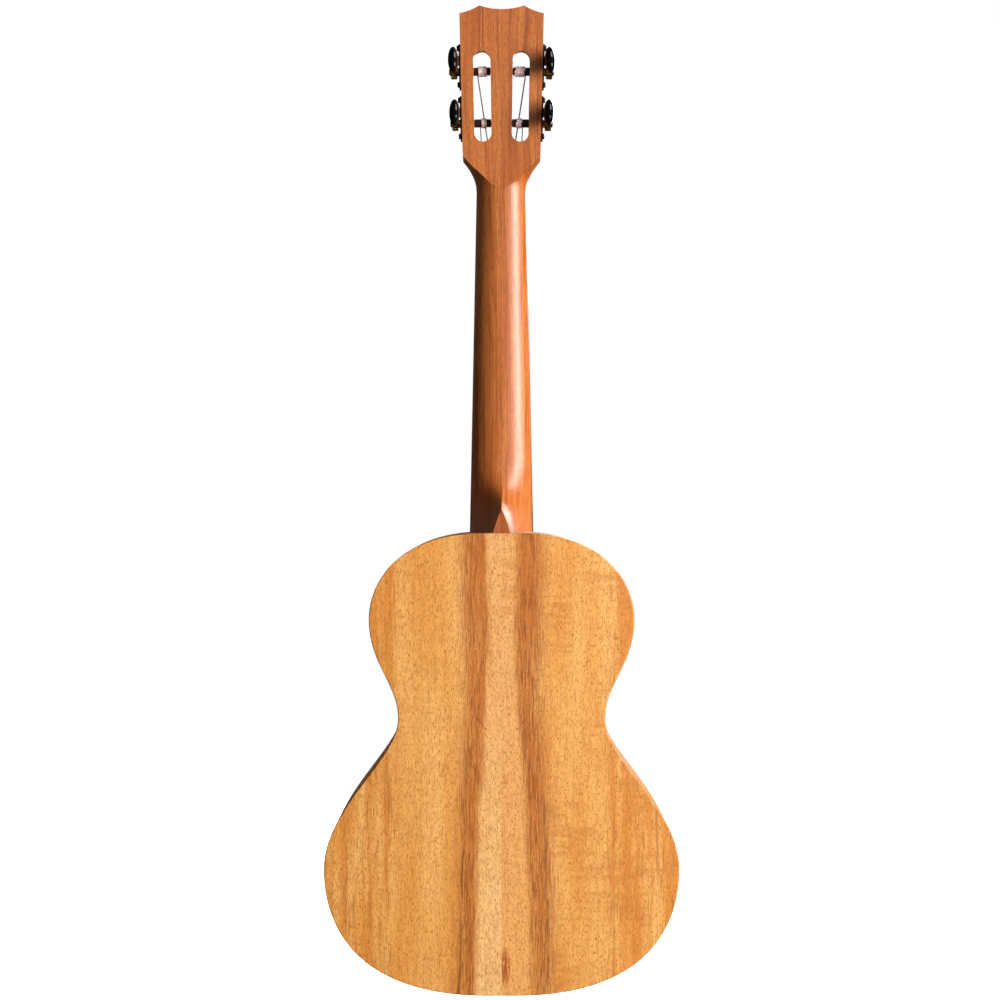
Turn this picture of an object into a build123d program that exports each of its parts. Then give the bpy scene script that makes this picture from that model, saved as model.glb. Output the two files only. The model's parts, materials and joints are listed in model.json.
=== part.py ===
from build123d import *
import math
import os

# Tenor ukulele with a slotted headstock.
# Frame: +Z runs up the neck to the headstock, X runs across it, the strings face -Y
# and the flat back faces +Y. The origin is the front edge of the nut on the centre
# line, in the plane of the neck's flat top (y = 0), which is also the outer plane of
# the soundboard. All sizes are in millimetres.

# ---------------------------------------------------------------- scale and neck
scale_length = 432.0
body_join_fret = 14
fret_count = 19
nut_width = 35.0
join_width = 44.5
neck_depth_nut = 14.0
neck_depth_join = 15.5
nut_thickness = 5.0
nut_height = 7.6
fretboard_thick = 5.0
fret_crown_width = 2.0
fret_crown_height = 1.0
fret_tang_width = 0.6
fret_tang_depth = 2.2
marker_frets = (5, 7, 10, 12, 15)
marker_diameter = 5.0
side_dot_diameter = 2.0
inlay_depth = 1.2

# ---------------------------------------------------------------- headstock
head_tilt = 10.0
head_thick = 14.0
veneer_thick = 1.5
head_corner_v = 114.4
head_peak_v = 119.5
head_dip_v = 117.1
head_peak_x = 15.4
head_half_top = 28.9
head_half_low = 26.85
head_low_v = 15.6
flare_top_z = 20.6
runout_v = 1.6
runout_radius = 9.0
slot_width = 11.8
slot_low_v = 28.3
slot_high_v = 89.3
slot_low_x = 12.9
slot_high_x = 13.6
ramp_start_v = 12.0
ramp_depth = 3.9

# ---------------------------------------------------------------- body
body_length = 308.3
body_depth = 66.0
upper_bout_width = 177.0
waist_width = 138.0
lower_bout_width = 237.0
upper_bout_drop = 57.5
waist_drop = 123.5
lower_bout_drop = 224.0
shoulder_flat = 12.0
tail_flat = 9.0
top_thick = 2.2
back_thick = 2.4
side_thick = 2.0
edge_round = 0.7
lining_width = 5.0
lining_depth = 12.0
neck_block_width = 52.0
neck_block_length = 20.0
tail_block_width = 60.0
tail_block_length = 12.0
dowel_diameter = 8.0
dowel_y = (13.0, 33.0)
dowel_in_heel = 9.0
dowel_in_block = 16.0
soundhole_diameter = 62.0
soundhole_drop = 87.0
rosette_inner = 70.0
rosette_outer = 81.0
rosette_depth = 0.8
hole_ring_outer = 88.0
hole_ring_thick = 1.5
back_brace_drops = (38.0, 123.0, 218.0)
back_brace_width = 8.0
back_brace_height = 13.0
top_brace_drops = (34.0, 136.0)
top_brace_width = 8.0
top_brace_height = 10.0
fan_length = 128.0
fan_start_drop = 146.0
fan_width = 5.0
fan_height = 6.5
fan_spread = (-34.0, 0.0, 34.0)

# ---------------------------------------------------------------- bridge and strings
bridge_width = 92.0
bridge_length = 25.0
bridge_height = 8.0
bridge_wing_height = 3.2
bridge_block_width = 62.0
bridge_front_z = -425.0
bridge_plate_width = 116.0
bridge_plate_length = 34.0
bridge_plate_thick = 2.0
saddle_z = -434.0
saddle_thick = 2.6
saddle_width = 56.0
saddle_top = 10.9
saddle_slot_depth = 4.5
tie_channel_front = -438.0
tie_channel_back = -443.6
tie_channel_floor = 2.4
tie_hole_y = -5.2
tie_hole_clearance = 0.12
knot_diameter = 2.8
string_nut_x = (-13.0, -4.4, 4.4, 13.0)
string_saddle_x = (-20.2, -6.7, 6.7, 20.2)
string_diameters = (0.74, 0.94, 0.84, 0.71)
string_over_fret = 0.35

# ---------------------------------------------------------------- tuning machines
tuner_low_v = 40.5
tuner_high_v = 75.5
roller_depth = 7.0
roller_radius = 2.8
roller_end_radius = 1.8
roller_end_length = 4.3
shaft_clearance = 0.08
web_gap = 0.25
winding_gap = 0.06
land_low_x = 14.7
land_high_x = 17.0
turns_low = 6
turns_high = 8
plate_thick = 1.2
plate_width = 12.4
plate_low = 12.4
plate_high = 18.6
plate_corner = 3.0
screw_low = 8.6
screw_high = 16.0
screw_head_radius = 2.0
screw_head_height = 1.4
screw_shank_radius = 1.0
screw_shank_length = 7.0
gear_teeth = 14
gear_module = 0.62
gear_thick = 4.4
gear_start = 2.6
gear_tooth_share = 0.40
worm_pitch_radius = 2.85
worm_length = 5.2
worm_tooth_share = 0.40
worm_tip_play = 0.16
gear_square = 3.0
gear_screw_radius = 0.9
gear_screw_head_radius = 2.3
gear_screw_head_height = 1.2
gear_screw_length = 4.5
ear_thick = 1.2
ear_gap = 0.15
ear_reach = 3.4
journal_radius = 1.5
button_length = 12.5
button_long = 17.7
button_thick = 7.2
button_start = 8.4
button_turns = {"g": 0.0, "c": 5.0, "e": 0.0, "a": 2.0}


def fret_z(number):
    return -scale_length * (1 - 2 ** (-number / 12))


join_z = fret_z(body_join_fret)
tail_z = join_z - body_length
tilt = math.radians(head_tilt)
head_plane = Plane(origin=(0, 0, nut_thickness), x_dir=(1, 0, 0),
                   z_dir=(0, -math.cos(tilt), math.sin(tilt)))
board_end_z = fret_z(fret_count) - 3.5


def board_half(z):
    return (nut_width + (join_width - nut_width) * z / join_z) / 2


def save(name, shape):
    shape.label = name
    export_step(shape, "parts/" + name + ".step")


def block(x0, x1, y0, y1, z0, z1):
    return Pos((x0 + x1) / 2, (y0 + y1) / 2, (z0 + z1) / 2) * Box(x1 - x0, y1 - y0, z1 - z0)


def rod_y(x, z, radius, y0, y1):
    return Pos(x, (y0 + y1) / 2, z) * Rot(90, 0, 0) * Cylinder(radius, y1 - y0)


def solids_of(shape):
    return [Solid(part.wrapped) for part in shape.solids()]


def group(parts):
    return Compound(children=[part for shape in parts for part in solids_of(shape)])


def one(shape):
    return max(solids_of(shape), key=lambda solid: solid.volume)


# ================================================================ sound box

def outline_curves():
    """Right-hand half of the sound box's outline in the plane y = 0, from top to tail."""
    top = Vector(shoulder_flat, 0, join_z)
    upper = Vector(upper_bout_width / 2, 0, join_z - upper_bout_drop)
    waist = Vector(waist_width / 2, 0, join_z - waist_drop)
    lower = Vector(lower_bout_width / 2, 0, join_z - lower_bout_drop)
    tail = Vector(tail_flat, 0, tail_z)
    across = Vector(1, 0, 0)
    down = Vector(0, 0, -1)
    shoulder_reach = 0.667 * upper_bout_width / 2
    upper_drop = 0.4 * upper_bout_drop
    waist_run = waist_drop - upper_bout_drop
    lower_run = lower_bout_drop - waist_drop
    tail_run = body_length - lower_bout_drop
    return [
        Bezier(top, top + across * shoulder_reach, upper - down * upper_drop, upper),
        Bezier(upper, upper + down * 0.455 * waist_run, waist - down * 0.35 * waist_run, waist),
        Bezier(waist, waist + down * 0.269 * lower_run, lower - down * 0.408 * lower_run, lower),
        Bezier(lower, lower + down * 0.427 * tail_run, tail + across * 0.76 * lower_bout_width / 2,
               tail),
    ]


def inset_curve(curve, inset):
    """A curve parallel to one stretch of the outline, further in."""
    points = []
    for step in range(13):
        share = step / 12
        run = curve % share
        points.append((curve @ share) + Vector(run.Z, 0, -run.X) * inset)
    return Spline(points, tangents=(curve % 0, curve % 1))


def outline_face(inset):
    right = outline_curves()
    if inset:
        right = [inset_curve(curve, inset) for curve in right]
    left = [curve.mirror(Plane.YZ) for curve in right]
    top = right[0] @ 0
    tail = right[3] @ 1
    ends = [Line((-top.X, 0, top.Z), top), Line((-tail.X, 0, tail.Z), tail)]
    return Face(Wire(right + left + ends))


def prism(face, y0, y1):
    return extrude(Pos(0, y0, 0) * face, amount=y1 - y0, dir=(0, 1, 0))


outline = outline_face(0)
inner_outline = outline_face(side_thick)
lining_outline = outline_face(side_thick + lining_width)
top_in = top_thick
back_in = body_depth - back_thick
soundhole_z = join_z - soundhole_drop
right_half = block(0, 200, -20, 100, -600, -200)
left_half = block(-200, 0, -20, 100, -600, -200)


def rounded_plate(y0, y1, outer_y):
    plate = prism(outline, y0, y1)
    rim = [e for e in plate.edges() if abs(e.bounding_box().min.Y - outer_y) < 1e-4
           and abs(e.bounding_box().max.Y - outer_y) < 1e-4]
    return fillet(rim, edge_round)


def back_plates():
    plate = rounded_plate(back_in, body_depth, body_depth)
    return one(plate & left_half), one(plate & right_half)


def annulus(outer, inner, y0, y1):
    ring = rod_y(0, soundhole_z, outer / 2, y0, y1)
    return ring - rod_y(0, soundhole_z, inner / 2, y0 - 1, y1 + 1)


def rosette():
    return annulus(rosette_outer, rosette_inner, 0, rosette_depth)


def top_plates():
    plate = rounded_plate(0, top_in, 0)
    plate = plate - rod_y(0, soundhole_z, soundhole_diameter / 2, -1, top_in + 1)
    plate = plate - rosette()
    return one(plate & left_half), one(plate & right_half)


def dowels():
    z0 = join_z - side_thick - dowel_in_block
    z1 = join_z + dowel_in_heel
    return [Pos(0, y, (z0 + z1) / 2) * Cylinder(dowel_diameter / 2, z1 - z0) for y in dowel_y]


def cut_all(shape, tools):
    for tool in tools:
        shape = shape - tool
    return shape


def side_plates():
    rim = prism(outline, top_in, back_in) - prism(inner_outline, top_in - 1, back_in + 1)
    rim = cut_all(rim, dowels())
    return one(rim & left_half), one(rim & right_half)


def neck_block_box():
    half = neck_block_width / 2
    return block(-half, half, top_in, back_in, join_z - side_thick - neck_block_length, join_z + 5)


def tail_block_box():
    half = tail_block_width / 2
    return block(-half, half, top_in, back_in, tail_z - 5, tail_z + side_thick + tail_block_length)


def end_block(box):
    return prism(inner_outline, top_in, back_in) & box


def lining(y0, y1):
    strip = prism(inner_outline, y0, y1) - prism(lining_outline, y0 - 1, y1 + 1)
    return strip - neck_block_box() - tail_block_box()


def cross_brace(drop, width, y0, y1):
    """A bar across the box from lining to lining, with its free edges eased."""
    z = join_z - drop
    bar = block(-150, 150, y0, y1, z - width / 2, z + width / 2)
    return one(bar & prism(lining_outline, y0, y1))


def fan_brace(x):
    z1 = join_z - fan_start_drop
    bar = Box(fan_width, fan_height, fan_length)
    bar = Pos(0, top_in + fan_height / 2, 0) * bar
    lean = math.degrees(math.atan2(x * 0.32, fan_length))
    placed = Pos(x, 0, z1 - fan_length / 2) * Rot(0, -lean, 0) * bar
    return placed - bridge_plate()


def bridge_plate():
    z1 = bridge_front_z + (bridge_plate_length - bridge_length) / 2
    half = bridge_plate_width / 2
    return block(-half, half, top_in, top_in + bridge_plate_thick, z1 - bridge_plate_length, z1)


# ================================================================ neck

def shell_point(half, depth, power_x, power_y, rise):
    """Half width of a rounded neck section at a height above its ridge."""
    share = min(max(1 - rise / depth, 0), 1)
    return half * (1 - share ** power_y) ** (1 / power_x)


def neck_section(place, half, depth, power_x, power_y, wall):
    """One closed section: a rounded back over straight walls, ridge at the local origin.
    Local x runs across, local y runs from the ridge to the front."""
    steps = (0.0, 0.012, 0.05, 0.14, 0.3, 0.5, 0.74, 1.0)
    rises = [depth * s for s in steps]
    right = [place.from_local_coords((shell_point(half, depth, power_x, power_y, r), r))
             for r in rises]
    left = [place.from_local_coords((-shell_point(half, depth, power_x, power_y, r), r))
            for r in rises]
    corner_r = place.from_local_coords((half, wall))
    corner_l = place.from_local_coords((-half, wall))
    curve_r = Spline(right)
    curve_l = Spline(left[::-1])
    return Wire([Line(corner_l, left[-1]), curve_l, curve_r, Line(right[-1], corner_r),
                 Line(corner_r, corner_l)])


def level_section(z, half, ridge_y, power_x, power_y, front=-4.0):
    """A section square to the neck's length, with its ridge at y = ridge_y."""
    place = Plane(origin=(0, ridge_y, z), x_dir=(1, 0, 0), z_dir=(0, 0, -1))
    return neck_section(place, half, ridge_y, power_x, power_y, ridge_y - front)


def neck_depth(z):
    return neck_depth_nut + (neck_depth_join - neck_depth_nut) * z / join_z


shaft_power = 2.3
heel_pivot_y = 50.5
heel_pivot_z = join_z + 51.6
heel_ridge_radius = heel_pivot_y - neck_depth_join + 0.3


def shaft_ridge(z):
    """Depth of the shaft's crest, straight from the flare to the start of the heel curve."""
    top_z = -14.0
    end = heel_pivot_y - heel_ridge_radius
    return neck_depth(top_z) + (end - neck_depth(top_z)) * (z - top_z) / (heel_pivot_z - top_z)


def shaft():
    z1 = -14.0
    z0 = heel_pivot_z + 30.0
    return Solid.make_loft([level_section(z, board_half(z), shaft_ridge(z), shaft_power, shaft_power)
                            for z in (z1, z0)], ruled=True)


def flare():
    """The carved swelling from the neck's shaft out to the headstock's lower corners."""
    rows = ((-14.0, board_half(-14.0), neck_depth(-14.0), 2.3, 2.3),
            (-9.0, board_half(-9.0), neck_depth(-9.0), 2.3, 2.3),
            (-3.0, 17.55, 14.1, 2.3, 2.3),
            (2.0, 17.85, 14.7, 2.35, 2.3),
            (7.0, 19.1, 17.6, 2.4, 2.3),
            (12.4, 21.7, 25.3, 2.6, 2.3),
            (17.0, 24.9, 33.5, 3.2, 2.4),
            (21.5, 28.8, 43.0, 4.5, 2.6))
    return Solid.make_loft([level_section(*row) for row in rows])


def fan_section(angle, half, depth, power_x, power_y):
    """A heel section in a plane that hinges about the heel curve's centre."""
    turn = math.radians(angle)
    out = Vector(0, -math.cos(turn), -math.sin(turn))
    ridge = Vector(0, heel_pivot_y, heel_pivot_z) + out * heel_ridge_radius
    place = Plane(origin=ridge, x_dir=(1, 0, 0), z_dir=Vector(1, 0, 0).cross(out))
    return neck_section(place, half, depth, power_x, power_y, depth + 40)


def heel_level(y, half, depth, power_x, power_y):
    """A heel section parallel to the back, beyond the end of the heel curve."""
    ridge_z = heel_pivot_z - heel_ridge_radius + 0.055 * (heel_pivot_y - y)
    place = Plane(origin=(0, y, ridge_z), x_dir=(1, 0, 0),
                  z_dir=Vector(1, 0, 0).cross(Vector(0, 0, -1)))
    return neck_section(place, half, depth, power_x, power_y, depth + 40)


def heel():
    half = board_half(heel_pivot_z)
    rows = [level_section(heel_pivot_z + rise, board_half(heel_pivot_z + rise),
                          shaft_ridge(heel_pivot_z + rise), shaft_power, shaft_power, -40.0)
            for rise in (30.0, 22.0, 14.0, 6.0)]
    rows = rows + [
            fan_section(4, half + 0.05, neck_depth_join - 0.1, 2.29, 2.29),
            fan_section(14, half + 0.2, neck_depth_join + 1.4, 2.2, 2.2),
            fan_section(28, half + 0.45, neck_depth_join + 6.4, 1.95, 1.95),
            fan_section(43, half + 0.3, 34.0, 1.55, 1.6),
            fan_section(58, 19.5, 38.0, 1.3, 1.45),
            fan_section(74, 12.6, 32.0, 1.2, 1.35),
            fan_section(90, 9.0, 26.0, 1.15, 1.3),
            heel_level(59.0, 8.2, 25.0, 1.15, 1.3),
            heel_level(68.0, 7.6, 24.0, 1.15, 1.3)]
    return Solid.make_loft(rows)


def head_half(v):
    return head_half_low + (head_half_top - head_half_low) * (v - head_low_v) / (
        head_corner_v - head_low_v)


def head_slab():
    """The headstock's plank with its crested top edge, from front veneer to back."""
    low = -30.0
    corner_l = (-head_half_top, head_corner_v)
    corner_r = (head_half_top, head_corner_v)
    peak_l = (-head_peak_x, head_peak_v)
    peak_r = (head_peak_x, head_peak_v)
    mid_x = (head_half_top + head_peak_x) / 2
    mid_v = (head_corner_v + head_peak_v) / 2 - 0.7
    profile = Wire([
        Line((-head_half(low), low), corner_l),
        ThreePointArc(corner_l, (-mid_x, mid_v), peak_l),
        ThreePointArc(peak_l, (0, head_dip_v), peak_r),
        ThreePointArc(peak_r, (mid_x, mid_v), corner_r),
        Line(corner_r, (head_half(low), low)),
        Line((head_half(low), low), (-head_half(low), low)),
    ])
    face = Face(profile)
    slab = extrude(face, amount=head_thick + veneer_thick, dir=(0, 0, 1))
    return head_plane * Pos(0, 0, -head_thick) * slab


def slot_x(v):
    run = slot_high_v - slot_low_v - slot_width
    return slot_low_x + (slot_high_x - slot_low_x) * (v - slot_low_v - slot_width / 2) / run


def slot_cutters():
    """The two through slots and the ramps that lead the strings into them."""
    lean = math.degrees(math.atan2(slot_high_x - slot_low_x,
                                   slot_high_v - slot_low_v - slot_width))
    mid_v = (slot_low_v + slot_high_v) / 2
    tools = []
    for side in (-1, 1):
        hole = extrude(SlotOverall(slot_high_v - slot_low_v, slot_width), amount=40, both=True)
        hole = Rot(0, 0, 90 - side * lean) * hole
        tools.append(head_plane * Pos(side * slot_x(mid_v), mid_v, 0) * hole)
        ramp = Polyline((0, ramp_start_v, veneer_thick), (0, ramp_start_v, veneer_thick + 5),
                        (0, slot_low_v + 6, veneer_thick + 5),
                        (0, slot_low_v + 6, veneer_thick - ramp_depth
                         - 6 * ramp_depth / (slot_low_v - ramp_start_v)), close=True)
        wedge = extrude(Face(Wire(ramp)), amount=slot_width / 2 - 0.4, dir=(1, 0, 0), both=True)
        tools.append(head_plane * Pos(side * slot_low_x, 0, 0) * Rot(0, 0, -side * lean) * wedge)
    return tools


def neck_blank():
    above = block(-60, 60, -40, 80, flare_top_z, 200)
    below = block(-60, 60, -40, 80, -60, flare_top_z)
    slab = head_slab()
    sides = slab_envelope()
    head = slab & above
    swell = flare() & below & sides
    body_space = prism(outline, -10, body_depth + 10)
    root = heel() & block(-60, 60, -5, body_depth, join_z - 1, heel_pivot_z + 30)
    root = root - body_space
    return head, swell, shaft(), root


def slab_envelope():
    """The headstock's side planes, and its back plane down to where a round cutter would
    turn out of the wood, just above the neck's crest."""
    low = -60.0
    half_low = head_half(low)
    face = Face(Wire(Polyline((-half_low, low), (-head_half(150), 150), (head_half(150), 150),
                              (half_low, low), close=True)))
    wedge = head_plane * Pos(0, 0, -60) * extrude(face, amount=120, dir=(0, 0, 1))
    run = 6.0
    rise = runout_radius - math.sqrt(runout_radius ** 2 - run ** 2)
    half_run = run / 2
    half_rise = runout_radius - math.sqrt(runout_radius ** 2 - half_run ** 2)
    steep = run / math.sqrt(runout_radius ** 2 - run ** 2)
    start = runout_v
    far = start - run - 40
    profile = Wire([
        Line((60, 150), (-head_thick, 150)),
        Line((-head_thick, 150), (-head_thick, start)),
        ThreePointArc((-head_thick, start), (-head_thick - half_rise, start - half_run),
                      (-head_thick - rise, start - run)),
        Line((-head_thick - rise, start - run), (-head_thick - rise - 40 * steep, far)),
        Line((-head_thick - rise - 40 * steep, far), (60, far)),
        Line((60, far), (60, 150)),
    ])
    side_view = Plane(origin=head_plane.origin, x_dir=head_plane.z_dir,
                      z_dir=head_plane.z_dir.cross(head_plane.y_dir))
    cut = extrude(side_view * Face(profile), amount=60, both=True)
    return wedge & cut


def front_layer(depth_front, depth_back):
    """The space between two planes parallel to the headstock's front, above the nut."""
    layer = extrude(Rectangle(120, 300), amount=depth_front + depth_back)
    layer = head_plane * Pos(0, 150, -depth_back) * layer
    return layer & block(-60, 60, -60, 90, nut_thickness, 300)


def make_neck(blank, screws):
    head, swell, middle, root = blank
    whole = head + swell
    whole = whole & (front_layer(0, 40) + block(-60, 60, 0, 60, -200, nut_thickness))
    middle = middle & block(-60, 60, 0, 60, -300, 0)
    root = root & block(-60, 60, 0, body_depth, -300, 0)
    neck = whole + middle + root
    neck = cut_all(neck, slot_cutters() + roller_bores() + screws + dowels())
    return one(neck)


def make_veneer(blank):
    head, swell, _, _ = blank
    plate = (head + swell) & front_layer(veneer_thick, 0)
    return one(cut_all(plate, slot_cutters()))


# ================================================================ fretboard

def board_prism(z_low, z_high, y0, y1):
    points = [(-board_half(z_high), 0, z_high), (board_half(z_high), 0, z_high),
              (board_half(z_low), 0, z_low), (-board_half(z_low), 0, z_low)]
    return prism(Face(Wire(Polyline(points, close=True))), y0, y1)


def frets():
    made = []
    for number in range(1, fret_count + 1):
        z = fret_z(number)
        top_y = -fretboard_thick
        half = fret_crown_width / 2
        tang = fret_tang_width / 2
        profile = Wire([
            ThreePointArc((0, top_y, z - half), (0, top_y - fret_crown_height, z),
                          (0, top_y, z + half)),
            Line((0, top_y, z + half), (0, top_y, z + tang)),
            Line((0, top_y, z + tang), (0, top_y + fret_tang_depth, z + tang)),
            Line((0, top_y + fret_tang_depth, z + tang), (0, top_y + fret_tang_depth, z - tang)),
            Line((0, top_y + fret_tang_depth, z - tang), (0, top_y, z - tang)),
            Line((0, top_y, z - tang), (0, top_y, z - half)),
        ])
        wire_bar = extrude(Face(profile), amount=30, dir=(1, 0, 0), both=True)
        made.append(wire_bar & board_prism(z - 4, z + 4, -20, 10))
    return made


def marker_spots():
    spots = []
    for number in marker_frets:
        z = (fret_z(number) + fret_z(number - 1)) / 2
        if number == 12:
            spots += [(-9.0, z), (9.0, z)]
        else:
            spots.append((0.0, z))
    return spots


def fret_markers():
    top_y = -fretboard_thick
    return [rod_y(x, z, marker_diameter / 2, top_y, top_y + inlay_depth)
            for x, z in marker_spots()]


def side_dots():
    made = []
    for number in marker_frets:
        z = (fret_z(number) + fret_z(number - 1)) / 2
        offsets = (-2.2, 2.2) if number == 12 else (0.0,)
        for shift in offsets:
            dot = Pos(-board_half(z + shift) - 0.4, -fretboard_thick / 2, z + shift) * Rot(0, 90, 0) \
                * Cylinder(side_dot_diameter / 2, 2 * inlay_depth)
            made.append(dot & board_prism(z - 10, z + 10, -20, 10))
    return made


def make_fretboard():
    board = board_prism(board_end_z, 0, -fretboard_thick, 0)
    return one(cut_all(board, frets() + fret_markers() + side_dots()))


# ================================================================ strings

def tuner_of(index):
    high = index in (1, 2)
    v = tuner_high_v if high else tuner_low_v
    side = -1 if index < 2 else 1
    return side, v, high


def string_points(index):
    """Centre line of a string: tie hole, saddle, nut and the point where it meets its roller."""
    radius = string_diameters[index] / 2
    side, v, high = tuner_of(index)
    saddle_y = -saddle_top - radius
    nut_y = -fretboard_thick - fret_crown_height - string_over_fret - radius
    at_nut = Vector(string_nut_x[index], nut_y, -0.3)
    at_saddle = Vector(string_saddle_x[index], saddle_y, saddle_z)
    land_x = side * (land_high_x if high else land_low_x)
    reach = roller_radius + winding_gap + radius
    centre = head_plane.from_local_coords((0, v, -roller_depth))
    gap_y = centre.Y - at_nut.Y
    gap_z = centre.Z - at_nut.Z
    distance = math.hypot(gap_y, gap_z)
    lead = math.atan2(gap_y, gap_z) - math.asin(reach / distance)
    run = math.sqrt(distance ** 2 - reach ** 2)
    at_roller = Vector(land_x, at_nut.Y + run * math.sin(lead), at_nut.Z + run * math.cos(lead))
    tail = Vector(string_saddle_x[index], tie_hole_y, tie_channel_back + 0.7)
    end = Vector(string_saddle_x[index], tie_hole_y, bridge_front_z - bridge_length - 0.9)
    return [end, tail, at_saddle, at_nut, at_roller]


def make_string(index):
    points = string_points(index)
    path = FilletPolyline(*points, radius=(1.5, 3.0, 6.0))
    start = path @ 0
    section = Plane(origin=start, z_dir=path % 0) * Circle(string_diameters[index] / 2)
    cord = sweep(section, path=path)
    knot = Pos(*start) * Sphere(knot_diameter / 2)
    knot = knot & block(-100, 100, -20, 20, -500, bridge_front_z - bridge_length)
    return one(cord + knot)


def nut_groove(index):
    """The slot a string lies in: round at the bottom, open to the front."""
    points = string_points(index)
    at_nut, at_roller = points[3], points[4]
    radius = string_diameters[index] / 2
    run = (at_roller - at_nut).normalized()
    place = Plane(origin=at_nut, x_dir=Vector(0, -1, 0).cross(run), z_dir=run)
    outward = 1 if place.y_dir.Y < 0 else -1
    round_part = Cylinder(radius, 24)
    slot_part = Pos(0, outward * 4, 0) * Box(2 * radius, 8, 24)
    return place * (round_part + slot_part)


def make_nut(strings):
    half = nut_width / 2
    lip = nut_height - 2.6
    profile = Wire([
        Line((0, 0, 0), (0, -nut_height, 0)),
        ThreePointArc((0, -nut_height, 0), (0, -nut_height + 0.7, 2.9), (0, -lip, nut_thickness)),
        Line((0, -lip, nut_thickness), (0, 0, nut_thickness)),
        Line((0, 0, nut_thickness), (0, 0, 0)),
    ])
    bar = extrude(Face(profile), amount=half - 0.1, dir=(1, 0, 0), both=True)
    return one(cut_all(bar, [nut_groove(i) for i in range(4)] + strings))


def make_saddle(strings):
    half = saddle_width / 2
    z0 = saddle_z - saddle_thick / 2
    z1 = saddle_z + saddle_thick / 2
    floor = -bridge_height + saddle_slot_depth
    profile = Wire([
        Line((0, floor, z0), (0, -saddle_top + 0.6, z0)),
        ThreePointArc((0, -saddle_top + 0.6, z0), (0, -saddle_top - 0.25, saddle_z),
                      (0, -saddle_top + 0.6, z1)),
        Line((0, -saddle_top + 0.6, z1), (0, floor, z1)),
        Line((0, floor, z1), (0, floor, z0)),
    ])
    bar = extrude(Face(profile), amount=half, dir=(1, 0, 0), both=True)
    return one(cut_all(bar, strings))


def make_bridge():
    """Tie bridge: a raised block with the saddle slot and tie holes, and two thin wings."""
    z0 = bridge_front_z - bridge_length
    z1 = bridge_front_z
    half = bridge_width / 2
    block_half = bridge_block_width / 2
    run = 6.0
    profile = Wire([
        Line((-half, 0, z1), (half, 0, z1)),
        Line((half, 0, z1), (half, -bridge_wing_height, z1)),
        Line((half, -bridge_wing_height, z1), (block_half + run, -bridge_wing_height, z1)),
        ThreePointArc((block_half + run, -bridge_wing_height, z1),
                      (block_half + 1.6, -bridge_wing_height - 1.2, z1),
                      (block_half, -bridge_height, z1)),
        Line((block_half, -bridge_height, z1), (-block_half, -bridge_height, z1)),
        ThreePointArc((-block_half, -bridge_height, z1),
                      (-block_half - 1.6, -bridge_wing_height - 1.2, z1),
                      (-block_half - run, -bridge_wing_height, z1)),
        Line((-block_half - run, -bridge_wing_height, z1), (-half, -bridge_wing_height, z1)),
        Line((-half, -bridge_wing_height, z1), (-half, 0, z1)),
    ])
    bridge = extrude(Face(profile), amount=bridge_length, dir=(0, 0, -1))
    bridge = bridge - block(-saddle_width / 2, saddle_width / 2, -bridge_height - 5,
                            -bridge_height + saddle_slot_depth,
                            saddle_z - saddle_thick / 2, saddle_z + saddle_thick / 2)
    bridge = bridge - block(-block_half - 10, block_half + 10, -bridge_height - 5,
                            -tie_channel_floor, tie_channel_back, tie_channel_front)
    for index, x in enumerate(string_saddle_x):
        radius = string_diameters[index] / 2 + tie_hole_clearance
        hole = Pos(x, tie_hole_y, (z0 + tie_channel_back) / 2) * Cylinder(radius, 20)
        bridge = bridge - (hole & block(-60, 60, -20, 20, z0 - 5, tie_channel_back + 2))
    return one(bridge)


# ================================================================ tuning machines
# One machine is built for the right-hand rail in its own frame: x points out from the
# headstock's side face, y up along that face, z to the front. The left pair is its mirror.

gear_pitch_radius = gear_module * gear_teeth / 2
gear_tip_radius = gear_pitch_radius + gear_module
gear_root_radius = gear_pitch_radius - gear_module - worm_tip_play
worm_tip_radius = worm_pitch_radius + gear_module
worm_root_radius = worm_pitch_radius - gear_module - worm_tip_play
worm_pitch = math.pi * gear_module
worm_lead_angle = math.atan2(worm_pitch, 2 * math.pi * worm_pitch_radius)
centre_distance = gear_pitch_radius + worm_pitch_radius
gear_mid = gear_start + gear_thick / 2
side_lean = math.atan2(head_half_top - head_half_low, head_corner_v - head_low_v)


def tuner_plane(v):
    """Frame of a right-hand machine whose roller crosses the headstock at height v."""
    origin = head_plane.from_local_coords((head_half(v), v, -roller_depth))
    out = head_plane.from_local_coords((math.cos(side_lean), -math.sin(side_lean), 0)) \
        - head_plane.origin
    return Plane(origin=origin, x_dir=out, z_dir=head_plane.z_dir)


def rod_x(x0, x1, radius, y=0.0, z=0.0):
    return Pos((x0 + x1) / 2, y, z) * Rot(0, 90, 0) * Cylinder(radius, x1 - x0)


def rod_z(z0, z1, radius, x=0.0, y=0.0):
    return Pos(x, y, (z0 + z1) / 2) * Cylinder(radius, z1 - z0)


def tuner_plate():
    height = plate_low + plate_high
    sheet = extrude(RectangleRounded(plate_width, height, plate_corner), amount=plate_thick)
    sheet = Pos(0, (plate_high - plate_low) / 2, 0) * Rot(0, 90, 0) * sheet
    bottom = gear_tip_radius - 0.45
    top = centre_distance + ear_reach
    ear_in = worm_length / 2 + ear_gap
    ears = block(plate_thick - 0.2, gear_mid, bottom, top, ear_in, ear_in + ear_thick)
    ears = ears + rod_z(ear_in, ear_in + ear_thick, ear_reach, gear_mid, centre_distance)
    ears = ears - block(-5, 20, -20, bottom, -20, 20)
    ears = ears + ears.mirror(Plane.XY)
    plate = sheet + ears
    plate = plate - rod_z(-9, 9, journal_radius + shaft_clearance, gear_mid, centre_distance)
    plate = plate - rod_x(-1, plate_thick + 1, roller_radius + shaft_clearance)
    for y in (screw_high, -screw_low):
        plate = plate - rod_x(-1, plate_thick + 1, screw_shank_radius, y)
    return one(plate)


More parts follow.
